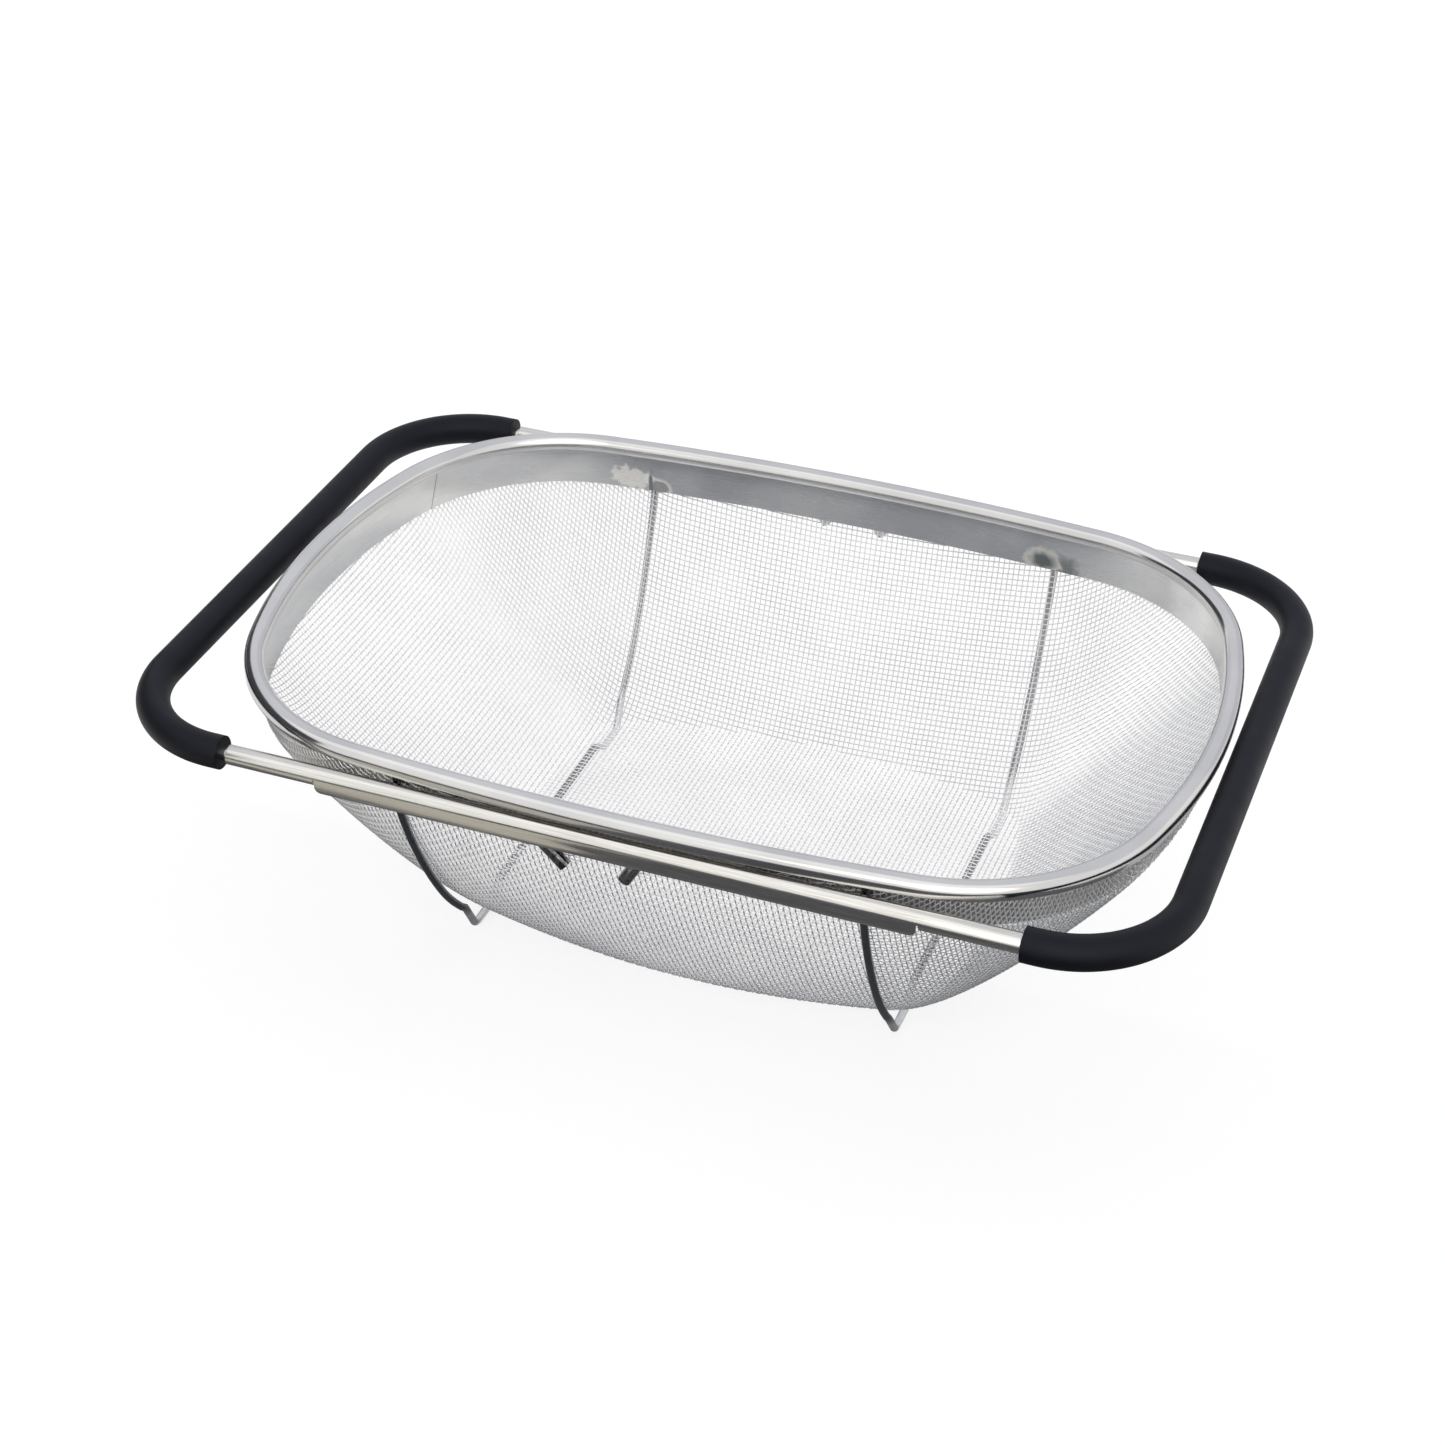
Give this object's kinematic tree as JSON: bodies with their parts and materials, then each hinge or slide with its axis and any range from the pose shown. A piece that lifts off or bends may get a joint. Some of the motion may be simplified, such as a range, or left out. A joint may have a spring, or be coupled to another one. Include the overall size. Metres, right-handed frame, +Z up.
{
  "type": "over-the-sink strainer basket",
  "caption": "Oval wire mesh strainer basket on bent wire feet, with two rubber gripped handles that pull out to span a sink.",
  "frame": {"origin": "on the ground under the middle of the whole object at rest, with the left handle drawn out by 2.5 mm", "axes": "+X to the right along the handles' slide, +Y to the back, +Z up"},
  "size_m": [0.4034, 0.2652, 0.1135],
  "materials": {
    "rim_strip": "polished stainless strip",
    "wire_cloth": "woven stainless wire",
    "leg_wire": "bright drawn stainless wire",
    "sleeve_strip": "polished stainless strip",
    "handle_rod": "bright drawn stainless rod",
    "grip_rubber": "matte black rubber tube"
  },
  "bodies": {
    "basket": {"rim": "rim_strip", "mesh_basket": "wire_cloth", "left_leg": "leg_wire", "right_leg": "leg_wire", "front_sleeve": "sleeve_strip", "back_sleeve": "sleeve_strip"},
    "left_handle": {"left_handle_rod": "handle_rod", "left_grip": "grip_rubber"},
    "right_handle": {"right_handle_rod": "handle_rod", "right_grip": "grip_rubber"}
  },
  "joints": [
    {"name": "left_handle_slide", "type": "slide", "parent": "basket", "child": "left_handle", "axis": [-1, 0, 0], "range_m": [-0.0025, 0.0814]},
    {"name": "right_handle_slide", "type": "slide", "parent": "basket", "child": "right_handle", "axis": [1, 0, 0], "range_m": [0, 0.0839]}
  ]
}
